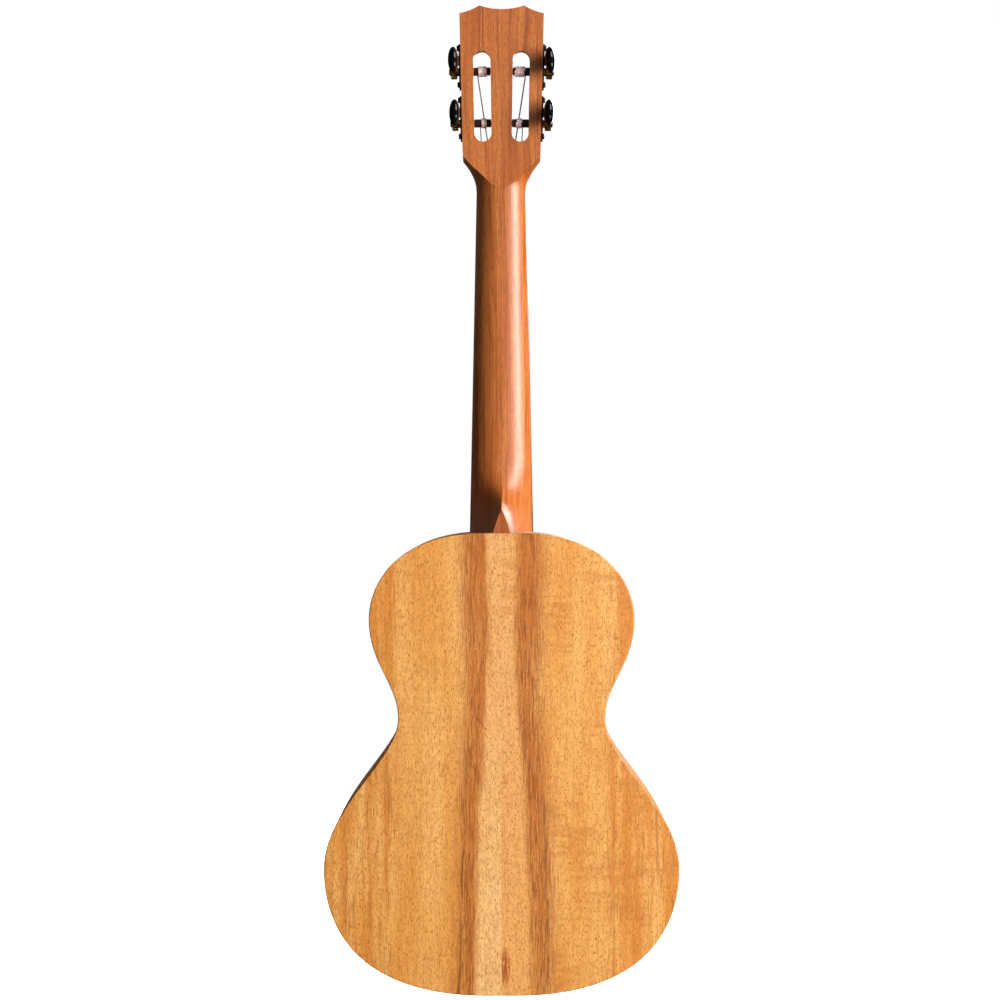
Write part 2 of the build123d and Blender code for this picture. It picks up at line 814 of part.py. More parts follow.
def plate_screw(y):
    head_end = plate_thick + screw_head_height
    head = rod_x(plate_thick, head_end, screw_head_radius, y)
    rim = [e for e in head.edges() if abs(e.bounding_box().min.X - head_end) < 1e-4]
    head = fillet(rim, 0.9)
    shank = rod_x(-screw_shank_length, plate_thick + 0.1, screw_shank_radius, y)
    cross = block(head_end - 0.7, head_end + 1, y - 1.1, y + 1.1, -0.25, 0.25)
    cross = cross + block(head_end - 0.7, head_end + 1, y - 0.25, y + 0.25, -1.1, 1.1)
    return one(head + shank - cross)


def gear_section(x, turn):
    """Tooth outline of the gear at a height x, turned by the teeth's helix."""
    pitch = 2 * math.pi / gear_teeth
    base = gear_pitch_radius * math.cos(math.radians(20))

    def spread(radius):
        lean = math.acos(min(base / radius, 1.0))
        return math.tan(lean) - lean

    at_pitch = spread(gear_pitch_radius)
    points = []
    for tooth in range(gear_teeth):
        middle = tooth * pitch + turn
        half = pitch * gear_tooth_share / 2
        flank = []
        for radius in (gear_root_radius, gear_pitch_radius, gear_tip_radius):
            flank.append((radius, half + at_pitch - spread(max(radius, base))))
        flank[0] = (gear_root_radius, min(flank[0][1] * 1.05, pitch * 0.46))
        for radius, angle in flank:
            points.append((radius, middle - angle))
        for radius, angle in flank[::-1]:
            points.append((radius, middle + angle))
    ring = [(x, radius * math.cos(angle), radius * math.sin(angle)) for radius, angle in points]
    return Wire(Polyline(ring, close=True))


def make_gear(phase):
    twist = gear_thick / 2 * math.tan(worm_lead_angle) / gear_pitch_radius
    wheel = Solid.make_loft([gear_section(gear_start, phase - twist),
                             gear_section(gear_start + gear_thick, phase + twist)], ruled=True)
    wheel = wheel & gear_envelope()
    wheel = wheel + rod_x(plate_thick + ear_gap, gear_start, roller_radius)
    half = gear_square / 2
    wheel = wheel - block(plate_thick, 20, -half, half, -half, half)
    return one(wheel)


def gear_envelope():
    """Takes the sharp corners off the ends of the teeth."""
    end = gear_start + gear_thick
    blank = rod_x(gear_start, end, gear_tip_radius + 0.01)
    rims = [e for e in blank.edges() if e.bounding_box().size.X < 1e-4]
    return chamfer(rims, 0.5, 0.7)


def make_gear_screw():
    start = gear_start + gear_thick
    head = rod_x(start, start + gear_screw_head_height, gear_screw_head_radius)
    rim = [e for e in head.edges()
           if abs(e.bounding_box().min.X - start - gear_screw_head_height) < 1e-4]
    head = fillet(rim, 0.8)
    slot = block(start + gear_screw_head_height - 0.6, start + 3, -4, 4, -0.3, 0.3)
    return one(head + rod_x(start - gear_screw_length, start, gear_screw_radius) - slot)


def slot_wall(v):
    """Distance from the side face to the slot's inner wall, along the roller."""
    return (head_half(v) - slot_x(v) + slot_width / 2) / math.cos(side_lean)


def make_roller(v, hole_x):
    wall = slot_wall(v)
    face_x = plate_thick + ear_gap
    bar = rod_x(-wall + web_gap, face_x, roller_radius)
    bar = bar + rod_x(-wall - roller_end_length, -wall + web_gap, roller_end_radius)
    half = gear_square / 2
    bar = bar + block(face_x - 0.1, gear_start + gear_thick, -half, half, -half, half)
    bar = bar - rod_x(gear_start + gear_thick - gear_screw_length, 20, gear_screw_radius)
    return one(bar - rod_y(hole_x, 0, 0.65, -9, 9))


def make_winding(start, diameter, turns):
    """Turns of string on the roller, as one ring with a round crest for each turn."""
    middle = roller_radius + diameter / 2
    crest = roller_radius + diameter
    edges = [Line((start, roller_radius, 0), (start, middle, 0))]
    for turn in range(turns):
        x = start - turn * diameter
        edges.append(ThreePointArc((x, middle, 0), (x - diameter / 2, crest, 0),
                                   (x - diameter, middle, 0)))
    last = start - turns * diameter
    edges.append(Line((last, middle, 0), (last, roller_radius, 0)))
    edges.append(Line((last, roller_radius, 0), (start, roller_radius, 0)))
    return one(revolve(Face(Wire(edges)), axis=Axis.X))


def worm_section():
    """Cross-section of a single-start thread: root arc, rising flank, crest arc, falling flank."""
    slope = math.tan(math.radians(20))
    crest = (worm_pitch * worm_tooth_share / 2 - gear_module * slope) / worm_pitch
    root = crest + (worm_tip_radius - worm_root_radius) * slope / worm_pitch

    def spot(radius, share):
        angle = 2 * math.pi * share
        return (radius * math.cos(angle), radius * math.sin(angle))

    def flank(share_from, share_to, radius_from, radius_to):
        return Spline([spot(radius_from + (radius_to - radius_from) * s,
                            share_from + (share_to - share_from) * s)
                       for s in (0, 0.25, 0.5, 0.75, 1.0)])

    return Face(Wire([
        ThreePointArc(spot(worm_tip_radius, -crest), spot(worm_tip_radius, 0),
                      spot(worm_tip_radius, crest)),
        flank(crest, root, worm_tip_radius, worm_root_radius),
        ThreePointArc(spot(worm_root_radius, root), spot(worm_root_radius, 0.5),
                      spot(worm_root_radius, 1 - root)),
        flank(-root, -crest, worm_root_radius, worm_tip_radius),
    ]))


def make_worm():
    """Thread, journals, collar and the shaft that carries the button, on the z axis.
    A crest of the thread faces the gear at mid height."""
    half = worm_length / 2
    turn = 360 * worm_length / worm_pitch
    thread = Solid.extrude_linear_with_rotation(worm_section(), (0, 0, -half),
                                                (0, 0, worm_length), turn)
    thread = Rot(0, 0, -90) * thread
    ear_out = half + ear_gap + ear_thick
    shaft_rod = rod_z(-ear_out - ear_gap, ear_out + 0.4, journal_radius)
    collar = rod_z(-ear_out - ear_gap - 1.1, -ear_out - ear_gap, journal_radius + 0.8)
    neck_rod = rod_z(-button_start, -ear_out - ear_gap - 1.0, journal_radius + 0.25)
    pin = rod_z(-button_start - 6, -button_start + 0.1, journal_radius)
    worm = one(thread + shaft_rod + collar + neck_rod + pin)
    return Pos(gear_mid, centre_distance, 0) * worm


def make_button(turn):
    """Oval knob: a loft of ellipses from the collar to the rounded end."""
    rows = ((0.0, 0.25, 0.5), (0.1, 0.46, 0.72), (0.27, 0.82, 0.93), (0.5, 0.99, 1.0),
            (0.72, 0.97, 0.96), (0.9, 0.74, 0.74), (0.985, 0.36, 0.38))
    wires = []
    for depth, long_share, thick_share in rows:
        place = Plane(origin=(0, 0, -button_start - button_length * depth))
        oval = Ellipse(button_thick / 2 * thick_share, button_long / 2 * long_share)
        wires.append((place * oval).wires()[0])
    knob = Solid.make_loft(wires)
    knob = knob - rod_z(-button_start - 6, -button_start + 1, journal_radius)
    return Pos(gear_mid, centre_distance, 0) * Rot(0, 0, turn) * one(knob)


def machine(index):
    """All pieces of one tuning machine, placed on the headstock."""
    side, v, high = tuner_of(index)
    key = "gcea"[index]
    place = tuner_plane(v)
    diameter = string_diameters[index]
    turns = turns_high if high else turns_low
    land = land_high_x if high else land_low_x
    start = (land - head_half(v)) / math.cos(side_lean) - diameter / 2 - winding_gap
    hole_x = start - turns * diameter - 1.2
    pieces = {
        "tuner_plate_" + key: tuner_plate(),
        "worm_shaft_" + key: make_worm(),
        "button_" + key: make_button(button_turns[key]),
        "gear_" + key: make_gear(math.pi / gear_teeth),
        "gear_screw_" + key: make_gear_screw(),
        "roller_" + key: make_roller(v, hole_x),
        "string_winding_" + key: make_winding(start, diameter, turns),
    }
    screws = [plate_screw(screw_high), plate_screw(-screw_low)]
    shanks = [rod_x(-screw_shank_length, 0.5, screw_shank_radius, y)
              for y in (screw_high, -screw_low)]

    def put(shape):
        placed = place * shape
        return placed.mirror(Plane.YZ) if side < 0 else placed

    return ({name: put(shape) for name, shape in pieces.items()},
            [put(s) for s in screws], [put(s) for s in shanks])


def roller_bores():
    """Bores for the rollers: through each rail, and blind into the wall between the slots."""
    made = []
    for index in range(4):
        side, v, _ = tuner_of(index)
        wall = slot_wall(v)
        rail = wall - slot_width
        bore = rod_x(-rail - 2, 2, roller_radius + shaft_clearance)
        blind = rod_x(-wall - roller_end_length - 0.3, -wall + 2,
                      roller_end_radius + shaft_clearance)
        placed = tuner_plane(v) * (bore + blind)
        made.append(placed.mirror(Plane.YZ) if side < 0 else placed)
    return made


# ================================================================ build

def build():
    os.makedirs("parts", exist_ok=True)
    strings = [make_string(index) for index in range(4)]
    machines = [machine(index) for index in range(4)]
    shanks = [shank for made in machines for shank in made[2]]
    blank = neck_blank()
    back_left, back_right = back_plates()
    top_left, top_right = top_plates()
    side_left, side_right = side_plates()
    save("back_left", back_left)
    save("back_right", back_right)
    save("top_left", top_left)
    save("top_right", top_right)
    save("side_left", side_left)
    save("side_right", side_right)
    save("lining_back", group([lining(back_in - lining_depth, back_in)]))
    save("lining_top", group([lining(top_in, top_in + lining_depth)]))
    save("neck_block", one(cut_all(end_block(neck_block_box()), dowels())))
    save("tail_block", one(end_block(tail_block_box())))
    save("back_braces", group([cross_brace(drop, back_brace_width, back_in - back_brace_height,
                                           back_in) for drop in back_brace_drops]))
    save("top_braces", group([cross_brace(drop, top_brace_width, top_in,
                                          top_in + top_brace_height) for drop in top_brace_drops]))
    save("fan_braces", group([fan_brace(x) for x in fan_spread]))
    save("bridge_plate", bridge_plate())
    save("soundhole_ring", annulus(hole_ring_outer, soundhole_diameter, top_in,
                                   top_in + hole_ring_thick))
    save("rosette", rosette())
    save("bridge", make_bridge())
    save("saddle", make_saddle(strings))
    save("neck", make_neck(blank, shanks))
    save("headstock_veneer", make_veneer(blank))
    save("neck_dowels", group(dowels()))
    save("fretboard", make_fretboard())
    save("frets", group(frets()))
    save("fret_markers", group(fret_markers()))
    save("side_dots", group(side_dots()))
    save("nut", make_nut(strings))
    for index, key in enumerate("gcea"):
        save("string_" + key, strings[index])
        for name, shape in machines[index][0].items():
            save(name, one(shape))
    save("tuner_screws", group([screw for made in machines for screw in made[1]]))


if __name__ == "__main__":
    build()
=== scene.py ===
import json
import math

import bpy
from mathutils import Matrix, Vector


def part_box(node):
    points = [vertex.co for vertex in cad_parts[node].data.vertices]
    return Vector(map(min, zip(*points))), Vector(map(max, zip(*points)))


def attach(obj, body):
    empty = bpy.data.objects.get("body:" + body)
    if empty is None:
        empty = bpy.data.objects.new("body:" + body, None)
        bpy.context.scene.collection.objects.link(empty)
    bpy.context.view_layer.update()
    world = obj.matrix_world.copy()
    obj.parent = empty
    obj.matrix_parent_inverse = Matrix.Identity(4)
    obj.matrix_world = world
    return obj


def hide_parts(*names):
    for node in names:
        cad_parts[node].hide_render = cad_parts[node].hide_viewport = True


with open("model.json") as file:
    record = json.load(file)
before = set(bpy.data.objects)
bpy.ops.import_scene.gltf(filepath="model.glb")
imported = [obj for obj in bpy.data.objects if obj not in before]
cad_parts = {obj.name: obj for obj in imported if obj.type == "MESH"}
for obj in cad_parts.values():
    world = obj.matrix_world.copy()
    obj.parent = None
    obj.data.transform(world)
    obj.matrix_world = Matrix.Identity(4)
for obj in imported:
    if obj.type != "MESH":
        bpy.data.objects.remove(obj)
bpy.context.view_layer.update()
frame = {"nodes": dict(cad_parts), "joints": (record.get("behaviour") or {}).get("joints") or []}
nodes = frame["nodes"]


# --- Back of the sound box ---------------------------------------------------------------
# Two bookmatched plates of flat-sawn acacia, 2.4 mm thick, glued along the centre seam.
# A pale strip runs down the middle between dark heartwood bands, under a thin satin lacquer.

def paint(red, green, blue):
    """A colour as mixed on a screen, 0 to 255, given as the light it sends back."""
    def light(value):
        value /= 255
        return value / 12.92 if value <= 0.04045 else ((value + 0.055) / 1.055) ** 2.4
    return (light(red), light(green), light(blue), 1.0)


class Finish:
    """The finish of one kind of surface, with short names for the nodes of its pattern."""

    def __init__(self, name, roughness=0.5, lacquer=0.0, lacquer_roughness=0.2, metal=0.0):
        self.material = bpy.data.materials.new(name)
        self.material.use_nodes = True
        self.tree = self.material.node_tree
        self.shader = self.tree.nodes["Principled BSDF"]
        self.shader.inputs["Roughness"].default_value = roughness
        self.shader.inputs["Coat Weight"].default_value = lacquer
        self.shader.inputs["Coat Roughness"].default_value = lacquer_roughness
        self.shader.inputs["Metallic"].default_value = metal
        self.place = self.tree.nodes.new("ShaderNodeTexCoord").outputs["Object"]
        apart = self.tree.nodes.new("ShaderNodeSeparateXYZ")
        self.tree.links.new(self.place, apart.inputs[0])
        self.x, self.y, self.z = apart.outputs

    def feed(self, socket, value):
        if isinstance(value, bpy.types.NodeSocket):
            self.tree.links.new(value, socket)
        else:
            socket.default_value = value

    def maths(self, operation, *values):
        node = self.tree.nodes.new("ShaderNodeMath")
        node.operation = operation
        for socket, value in zip(node.inputs, values):
            self.feed(socket, value)
        return node.outputs[0]

    def joined(self, x, y, z):
        node = self.tree.nodes.new("ShaderNodeCombineXYZ")
        for socket, value in zip(node.inputs, (x, y, z)):
            self.feed(socket, value)
        return node.outputs[0]

    def noise(self, size, at=None, detail=2.0, shift=0.0, warp=0.0):
        """Cloudy noise, 0 to 1. Its patches have this size along x, y and z, in metres."""
        mapping = self.tree.nodes.new("ShaderNodeMapping")
        self.feed(mapping.inputs["Vector"], self.place if at is None else at)
        mapping.inputs["Scale"].default_value = [1 / length for length in size]
        mapping.inputs["Location"].default_value = (shift, shift * 1.7, shift * 2.3)
        node = self.tree.nodes.new("ShaderNodeTexNoise")
        self.feed(node.inputs["Vector"], mapping.outputs[0])
        node.inputs["Scale"].default_value = 1.0
        node.inputs["Detail"].default_value = detail
        node.inputs["Distortion"].default_value = warp
        return node.outputs[0]

    def step(self, value, low, high, top=1.0):
        """Rises smoothly from 0 at low to top at high, or falls if low is the greater."""
        node = self.tree.nodes.new("ShaderNodeMapRange")
        node.interpolation_type = "SMOOTHSTEP"
        turned = isinstance(low, float) and isinstance(high, float) and low > high
        ends = (high, low, top, 0.0) if turned else (low, high, 0.0, top)
        self.feed(node.inputs["Value"], value)
        for name, end in zip(("From Min", "From Max", "To Min", "To Max"), ends):
            self.feed(node.inputs[name], end)
        return node.outputs[0]

    def graph(self, value, *spots):
        """A curve through (value, height) spots, with value from 0 to 1."""
        node = self.tree.nodes.new("ShaderNodeValToRGB")
        node.color_ramp.interpolation = "EASE"
        stops = node.color_ramp.elements
        while len(stops) < len(spots):
            stops.new(0.5)
        for stop, (where, height) in zip(stops, spots):
            stop.position = where
            stop.color = (height, height, height, 1.0)
        self.feed(node.inputs[0], value)
        return node.outputs[0]

    def blend(self, amount, under, over, how="MIX"):
        node = self.tree.nodes.new("ShaderNodeMix")
        node.data_type = "RGBA"
        node.blend_type = how
        self.feed(node.inputs[0], amount)
        self.feed(node.inputs[6], under)
        self.feed(node.inputs[7], over)
        return node.outputs[2]

    def colour(self, value):
        self.feed(self.shader.inputs["Base Color"], value)

    def roughness(self, value, low, high):
        node = self.tree.nodes.new("ShaderNodeMapRange")
        for socket, fed in zip(node.inputs, (value, 0.0, 1.0, low, high)):
            self.feed(socket, fed)
        self.feed(self.shader.inputs["Roughness"], node.outputs[0])

    def relief(self, height, depth):
        """Lifts the surface by depth, in metres, where height is 1."""
        node = self.tree.nodes.new("ShaderNodeBump")
        node.inputs["Strength"].default_value = 1.0
        node.inputs["Distance"].default_value = depth
        self.feed(node.inputs["Height"], height)
        self.feed(self.shader.inputs["Normal"], node.outputs[0])

    def put_on(self, *names):
        for name in names:
            for place in nodes[name].material_slots:
                place.material = self.material


box_top_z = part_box("back_left")[1][2]
box_length = box_top_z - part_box("back_left")[0][2]


graph_unit = 0.04  # metres from the seam that a height of 1 stands for in a plate's graphs
plate_reach = 0.05  # a half plate reaches further than this on its own side of the seam


def side_of(plate):
    """1 for the half plate at +x, -1 for the other."""
    return 1 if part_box(plate)[1][0] > plate_reach else -1


def acacia_half(name, side, strip_edge, band_edge, strip_foot, seed, band=1.0, curl=0.5):
    """Half of a bookmatched plate. side is the sign of its x, and edges are graphs of
    distance from the seam, in graph units, along the box from shoulder to tail."""
    wood = Finish(name, roughness=0.46, lacquer=0.25, lacquer_roughness=0.3)
    across = wood.maths("MULTIPLY", wood.x, float(side)) if side else wood.maths("ABSOLUTE", wood.x)
    down = wood.maths("DIVIDE", wood.maths("SUBTRACT", box_top_z, wood.z), box_length)
    wander = wood.noise((0.030, 1.0, 0.045), detail=3.0, shift=seed)
    shiver = wood.noise((0.004, 1.0, 0.010), detail=2.0, shift=seed + 3)
    drift = wood.maths("ADD", wood.maths("MULTIPLY_ADD", wander, 0.005, -0.0025),
                       wood.maths("MULTIPLY_ADD", shiver, 0.0016, -0.0008))
    grown = wood.maths("ADD", across, drift)
    rings = wood.joined(grown, wood.y, wood.z)

    # ground colour, paler and darker in long clouds, redder towards the edge of the tree
    clouds = wood.noise((0.016, 1.0, 0.16), at=rings, detail=3.0, shift=seed + 5)
    ground = wood.blend(wood.step(clouds, 0.32, 0.68), paint(254, 196, 112), paint(238, 166, 78))
    far = wood.step(across, 0.058, 0.078)
    flames = wood.noise((0.0065, 1.0, 0.13), at=rings, detail=4.0, shift=seed + 7)
    ground = wood.blend(wood.maths("MULTIPLY", far, wood.step(flames, 0.38, 0.62, 0.8)),
                        ground, paint(224, 138, 44))

    # pale middle strip and the dark band beside it
    edge = wood.maths("MULTIPLY", wood.graph(down, *strip_edge), graph_unit)
    rim = wood.maths("MULTIPLY", wood.graph(down, *band_edge), graph_unit)
    beyond = wood.step(wood.maths("SUBTRACT", grown, edge), -0.0030, 0.0042)
    within = wood.step(wood.maths("SUBTRACT", rim, grown), -0.0120, 0.0050)
    dark = wood.maths("MULTIPLY", beyond, within)
    veins = wood.noise((0.0016, 1.0, 0.075), at=rings, detail=4.0, shift=seed + 9)
    patchy = wood.noise((0.010, 1.0, 0.050), at=rings, detail=2.0, shift=seed + 11)
    depth = wood.maths("MULTIPLY", wood.step(veins, 0.34, 0.62), wood.step(patchy, 0.2, 0.6))
    depth = wood.maths("MULTIPLY_ADD", depth, 0.42 * band, 0.60 * band)
    depth = wood.maths("MULTIPLY", dark, depth)
    strip = wood.blend(wood.step(down, 0.25, 0.85), paint(246, 186, 114), strip_foot)
    surface = wood.blend(beyond, strip, ground)
    depth = wood.maths("MULTIPLY", depth, wood.maths("MULTIPLY_ADD", down, -0.30, 1.10))
    surface = wood.blend(depth, surface, paint(190, 98, 14))

    # near-black line on the outer rim of the band, broken, in the lower half
    line = wood.maths("ABSOLUTE", wood.maths("SUBTRACT", grown, rim))
    line = wood.maths("MULTIPLY", wood.step(line, 0.0013, 0.0002), wood.step(down, 0.42, 0.60))
    broken = wood.noise((0.004, 1.0, 0.022), detail=3.0, shift=seed + 13)
    line = wood.maths("MULTIPLY", line, wood.step(broken, 0.36, 0.60, 0.85 * band))
    surface = wood.blend(line, surface, paint(86, 42, 20))

    # long dark streaks near the outer edge, and finer ones in the dark band
    streaks = wood.noise((0.00125, 1.0, 0.030), at=rings, detail=3.0, shift=seed + 15)
    where = wood.maths("MAXIMUM", wood.maths("MULTIPLY", far, 0.72),
                       wood.maths("MULTIPLY", dark, 1.25 * band))
    where = wood.maths("MAXIMUM", where, 0.25)
    streaks = wood.maths("MULTIPLY", wood.step(streaks, 0.55, 0.70, 0.75), where)
    surface = wood.blend(streaks, surface, paint(150, 70, 14))
    threads = wood.noise((0.00055, 1.0, 0.0105), at=rings, detail=2.0, shift=seed + 27)
    threads = wood.maths("MULTIPLY", wood.step(threads, 0.53, 0.66, 0.62),
                         wood.maths("MAXIMUM", where, 0.40))
    surface = wood.blend(threads, surface, paint(150, 72, 14))
    checks = wood.noise((0.00085, 1.0, 0.016), at=rings, detail=3.0, shift=seed + 33, warp=0.3)
    checks = wood.maths("MULTIPLY", wood.step(checks, 0.48, 0.62, 0.85 * band), dark)
    surface = wood.blend(checks, surface, paint(124, 54, 6))
    mottle = wood.noise((0.0026, 1.0, 0.0060), detail=3.0, shift=seed + 29, warp=0.5)
    surface = wood.blend(wood.step(mottle, 0.46, 0.66, 0.30), surface, paint(206, 132, 58))

    # curl: faint level ripples where the fibres wave
    ripple = wood.noise((0.030, 1.0, 0.0052), detail=3.0, shift=seed + 17, warp=0.6)
    region = wood.noise((0.050, 1.0, 0.060), detail=1.0, shift=seed + 19)
    ripple = wood.maths("MULTIPLY", wood.step(ripple, 0.42, 0.62),
                        wood.step(region, 0.42, 0.62, curl))
    surface = wood.blend(wood.maths("MULTIPLY", ripple, 0.48), surface, paint(204, 124, 42))

    # open pores, short dark dashes that lean a little with the wave of the fibres
    lean = wood.noise((0.016, 1.0, 0.022), detail=1.0, shift=seed + 21)
    leaning = wood.joined(wood.maths("MULTIPLY_ADD", lean, 0.010, wood.x), wood.y, wood.z)
    pores = wood.noise((0.00058, 1.0, 0.0023), at=leaning, detail=1.0, shift=seed + 23)
    pores = wood.step(pores, 0.54, 0.66)
    fibres = wood.noise((0.00034, 1.0, 0.012), at=rings, detail=2.0, shift=seed + 25)
    surface = wood.blend(wood.step(fibres, 0.35, 0.75, 0.28), surface, paint(206, 132, 58))
    surface = wood.blend(wood.maths("MULTIPLY", pores, 0.66), surface, paint(172, 82, 8))
    # painted shade on the rounded edge: darker where the surface turns away from straight back or
    # front
    facing = wood.tree.nodes.new("ShaderNodeNewGeometry").outputs["Normal"]
    facing_parts = wood.tree.nodes.new("ShaderNodeSeparateXYZ")
    wood.feed(facing_parts.inputs[0], facing)
    painted_edge_shade = wood.step(wood.maths("ABSOLUTE", facing_parts.outputs[1]), 0.97, 0.60, 0.6)
    surface = wood.blend(painted_edge_shade, surface, paint(120, 66, 28))
    wood.relief(wood.maths("ADD", wood.maths("MULTIPLY", pores, -0.8),
                           wood.maths("MULTIPLY", fibres, 0.5)), 0.000018)
    wood.roughness(fibres, 0.40, 0.54)
    return wood, surface, across, down


def edge_mark(wood, surface, across, along, start, lean):
    """A short dark stroke across the edge of the strip, where a twig once grew."""
    slant = wood.maths("MULTIPLY_ADD", wood.maths("SUBTRACT", wood.z, along), -lean, across)
    bend = wood.maths("MULTIPLY_ADD", wood.noise((0.004, 1.0, 0.004), detail=1.0), 0.0024, -0.0012)
    off = wood.maths("ABSOLUTE", wood.maths("ADD", wood.maths("SUBTRACT", slant, start), bend))
    near = wood.maths("ABSOLUTE", wood.maths("SUBTRACT", wood.z, along))
    mark = wood.maths("MULTIPLY", wood.step(off, 0.0010, 0.0003), wood.step(near, 0.0052, 0.0034))
    fleck = wood.step(wood.noise((0.0014, 1.0, 0.0014), detail=1.0, shift=2.0), 0.36, 0.58, 0.7)
    return wood.blend(wood.maths("MULTIPLY", mark, fleck), surface, paint(128, 66, 26))


back_halves = {
    "back_plus": ([(0.0, 0.275), (0.2, 0.22), (0.38, 0.265), (0.46, 0.29), (0.62, 0.36),
                   (0.8, 0.385), (1.0, 0.43)],
                  [(0.0, 0.59), (0.2, 0.55), (0.38, 0.525), (0.5, 0.59), (0.62, 0.625),
                   (0.8, 0.65), (1.0, 0.72)],
                  paint(255, 206, 134), 0.0, 1.0, 0.35),
    "back_minus": ([(0.0, 0.22), (0.2, 0.22), (0.38, 0.235), (0.46, 0.31), (0.62, 0.40),
                    (0.8, 0.435), (1.0, 0.50)],
                   [(0.0, 0.58), (0.2, 0.60), (0.34, 0.55), (0.5, 0.65), (0.62, 0.71),
                    (0.8, 0.755), (1.0, 0.78)],
                   paint(248, 182, 104), 31.0, 1.0, 0.95),
}
for plate in ("back_left", "back_right"):
    side = side_of(plate)
    figure = back_halves["back_plus" if side > 0 else "back_minus"]
    strip_edge, band_edge, strip_foot, seed, band, curl = figure
    wood, surface, across, down = acacia_half("acacia_" + plate, side, strip_edge, band_edge,
                                              strip_foot, seed, band, curl)
    surface = edge_mark(wood, surface, across, -0.3666, 0.0135, 0.95)
    if side < 0:
        # a small reddish flame beside the seam near the tail
        away = wood.maths("DIVIDE", wood.maths("SUBTRACT", across, 0.0024), 0.0042)
        below = wood.maths("DIVIDE", wood.maths("ADD", wood.z, 0.5290), 0.0150)
        ember = wood.maths("ADD", wood.maths("MULTIPLY", away, away),
                           wood.maths("MULTIPLY", below, below))
        flicker = wood.noise((0.0016, 1.0, 0.006), detail=3.0)
        ember = wood.maths("MULTIPLY", wood.step(ember, 1.0, 0.1),
                           wood.step(flicker, 0.25, 0.55, 0.95))
        surface = wood.blend(ember, surface, paint(170, 74, 24))
    wood.colour(surface)
    wood.put_on(plate)


# --- Sides -------------------------------------------------------------------------------
# Two ribs of the same acacia, 2 mm thick, bent to the outline over heat and butted at the
# tail and under the neck. Their grain follows the outline.

ribs = Finish("acacia_ribs", roughness=0.44, lacquer=0.3, lacquer_roughness=0.28)
clouds = ribs.noise((0.16, 0.014, 0.16), detail=3.0, shift=2.0)
surface = ribs.blend(ribs.step(clouds, 0.34, 0.66), paint(232, 168, 98), paint(206, 138, 68))
flames = ribs.noise((0.13, 0.0042, 0.13), detail=4.0, shift=8.0)
surface = ribs.blend(ribs.step(flames, 0.50, 0.70, 0.75), surface, paint(176, 102, 44))
ripple = ribs.noise((0.006, 0.03, 0.006), detail=2.0, shift=4.0)
surface = ribs.blend(ribs.step(ripple, 0.5, 0.7, 0.22), surface, paint(190, 118, 52))
streaks = ribs.noise((0.030, 0.0012, 0.030), detail=3.0, shift=5.0)
surface = ribs.blend(ribs.step(streaks, 0.58, 0.72, 0.55), surface, paint(146, 78, 30))
pores = ribs.step(ribs.noise((0.0026, 0.0006, 0.0026), detail=1.0), 0.57, 0.68)
fibres = ribs.noise((0.012, 0.00034, 0.012), detail=2.0)
surface = ribs.blend(ribs.step(fibres, 0.35, 0.75, 0.3), surface, paint(192, 122, 56))
ribs.colour(ribs.blend(ribs.maths("MULTIPLY", pores, 0.5), surface, paint(138, 76, 32)))
ribs.roughness(fibres, 0.38, 0.52)
ribs.relief(ribs.maths("MULTIPLY_ADD", pores, -0.8, ribs.maths("MULTIPLY", fibres, 0.5)), 0.00005)
ribs.put_on("side_left", "side_right")


# --- Blocks, linings and braces ----------------------------------------------------------
# Mahogany neck and tail blocks, kerfed linings along both edges, and planed spruce braces
# glued inside the plates. All are bare wood, seen only through the soundhole.

def bare_wood(name, pale, dark, along, line=0.0009, seed=0.0):
    """Bare planed wood with its grain along axis 0, 1 or 2."""
    def drawn(width, length):
        size = [width] * 3
        size[along] = length
        return size
    wood = Finish(name, roughness=0.72)
    clouds = wood.noise(drawn(0.012, 0.12), detail=3.0, shift=seed)
    lines = wood.noise(drawn(line, 0.10), detail=2.0, shift=seed + 2)
    hairs = wood.noise(drawn(0.0003, 0.006), detail=2.0, shift=seed + 4)
    surface = wood.blend(wood.step(clouds, 0.3, 0.7, 0.6), pale, dark)
    surface = wood.blend(wood.step(lines, 0.48, 0.68, 0.7), surface, dark)
    wood.colour(wood.blend(wood.step(hairs, 0.5, 0.75, 0.35), surface, dark))
    wood.roughness(hairs, 0.62, 0.82)
    wood.relief(hairs, 0.00006)
    return wood


spruce = paint(232, 206, 158), paint(196, 158, 106)
bare_wood("block_mahogany", paint(178, 122, 82), paint(128, 78, 48), 2).put_on(
    "neck_block", "tail_block")
bare_wood("lining_wood", paint(206, 168, 122), paint(160, 116, 76), 1).put_on(
    "lining_back", "lining_top")
bare_wood("spruce_cross", *spruce, 0).put_on("back_braces", "top_braces")
bare_wood("spruce_long", *spruce, 2, seed=7.0).put_on("fan_braces")
bare_wood("patch_mahogany", paint(186, 130, 88), paint(138, 88, 54), 0).put_on(
    "bridge_plate", "soundhole_ring")


# --- Soundboard --------------------------------------------------------------------------
# Two more acacia halves, 2.2 mm thick, bookmatched like the back but cut from quieter wood
# under the same lacquer. The soundhole's edge shows the plate's thickness.

top_strip = [(0.0, 0.42), (0.35, 0.38), (0.7, 0.46), (1.0, 0.5)]
top_band = [(0.0, 0.70), (0.35, 0.66), (0.7, 0.74), (1.0, 0.80)]
for plate in ("top_left", "top_right"):
    side = side_of(plate)
    wood, surface, across, down = acacia_half("acacia_" + plate, side, top_strip, top_band,
                                              paint(240, 184, 114), 52.0, 0.5, 0.8)
    wood.colour(surface)
    wood.put_on(plate)


# --- Rosette -----------------------------------------------------------------------------
# A ring of dark wood, let into the soundboard round the soundhole, with a thin pale line
# at each edge, scraped level and lacquered over.

